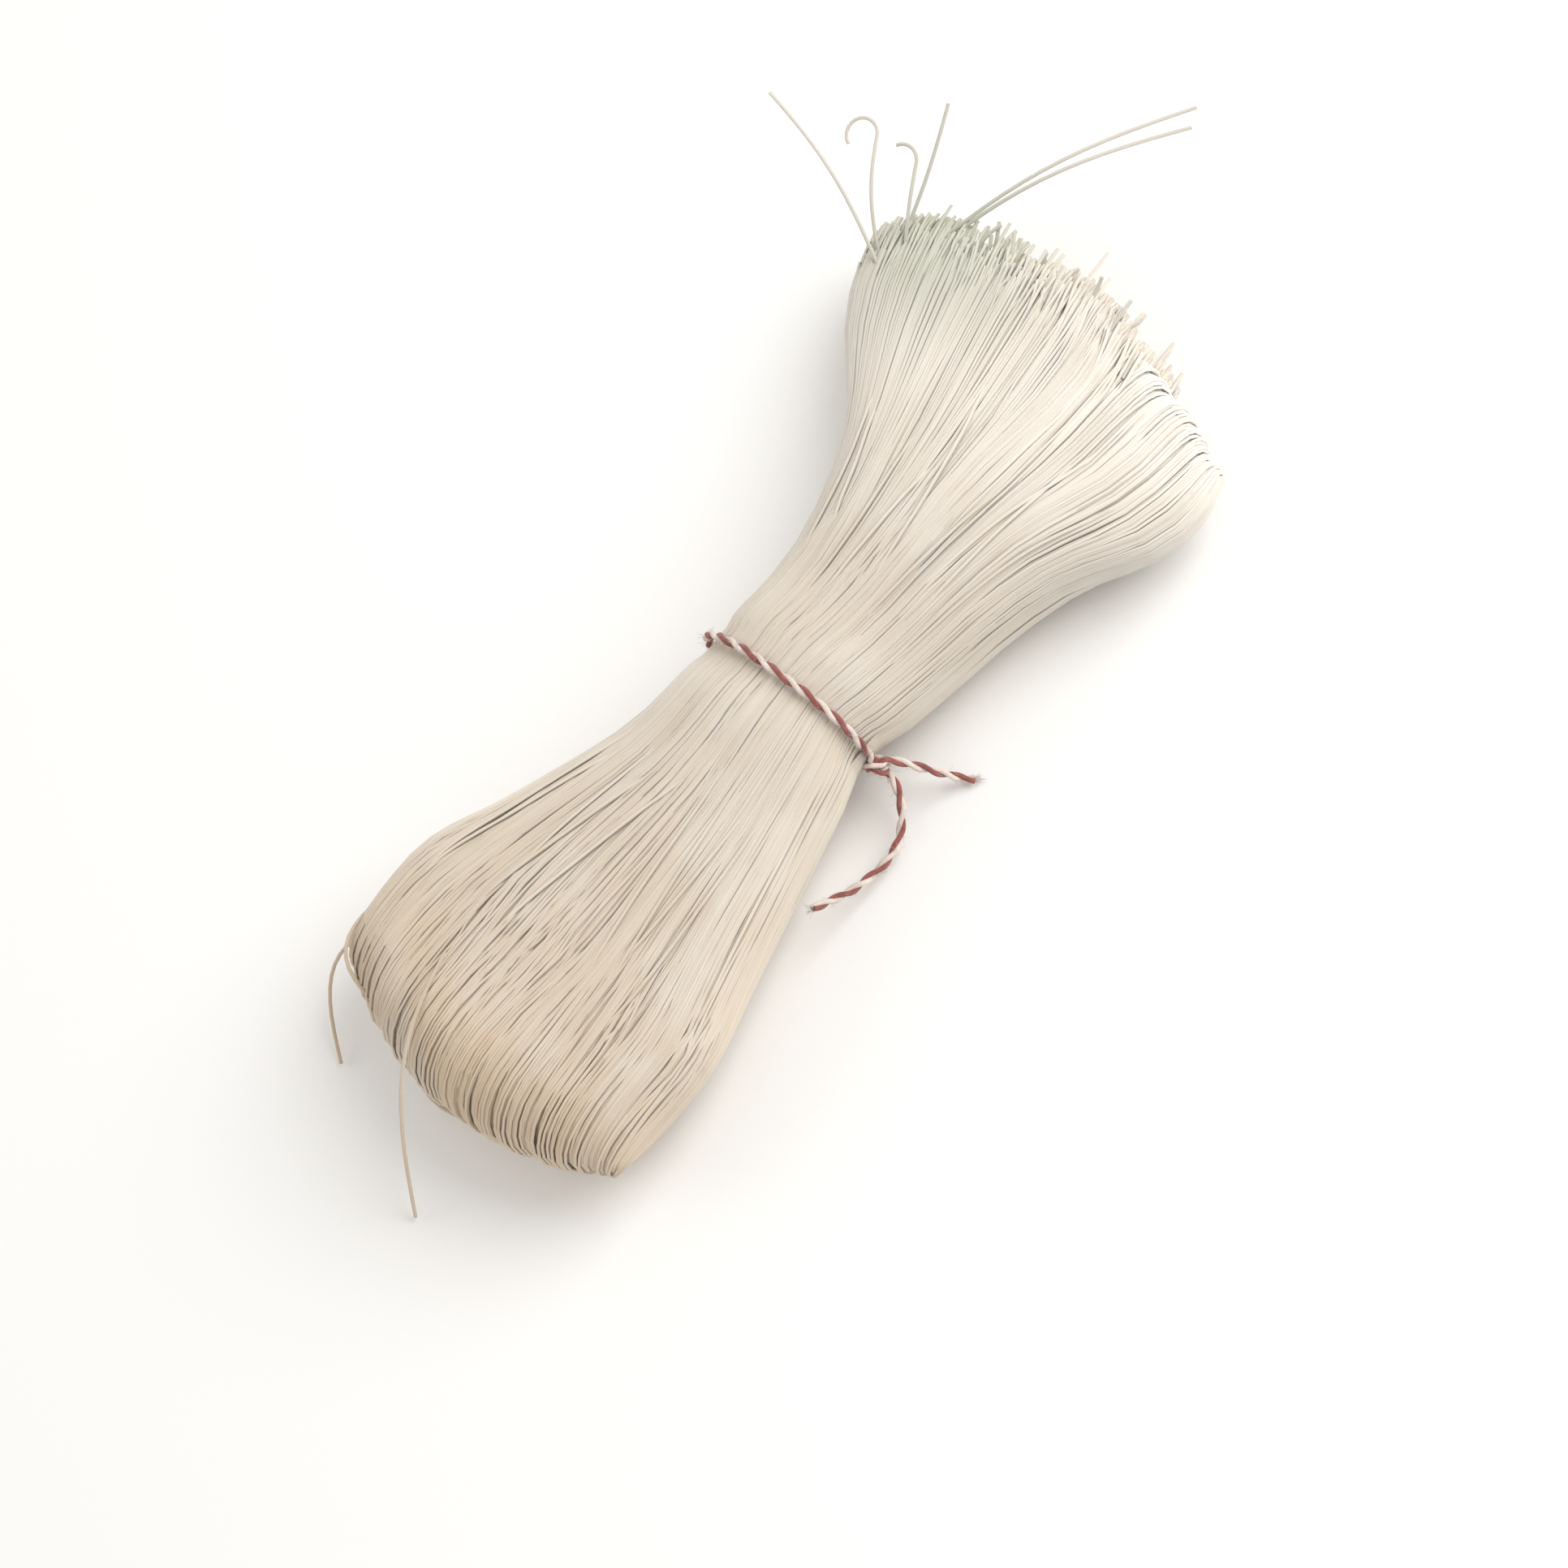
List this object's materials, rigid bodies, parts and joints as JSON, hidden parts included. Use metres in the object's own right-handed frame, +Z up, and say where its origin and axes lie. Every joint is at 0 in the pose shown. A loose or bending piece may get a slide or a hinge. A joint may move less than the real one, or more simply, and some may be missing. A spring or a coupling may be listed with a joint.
{
  "type": "hank of mung bean vermicelli",
  "caption": "Bow-tie hank of dried, translucent mung bean vermicelli, folded at one end, cut and fanned at the other, tied round its waist with red and white twine.",
  "frame": {"origin": "under the middle of the bounding box, on the flat underside the hank lies on", "axes": "+X along the noodles from the folded end to the cut end, +Y across the hank, away from the knot, +Z up through the shown face"},
  "size_m": [0.2505, 0.1194, 0.034],
  "materials": {
    "dry_noodle": "dried starch, satin and faintly translucent",
    "red_white_twine": "two-ply cotton twine, white with a dark red strand"
  },
  "bodies": {
    "root": {"vermicelli": "dry_noodle", "tie_twine": "red_white_twine"}
  },
  "joints": []
}
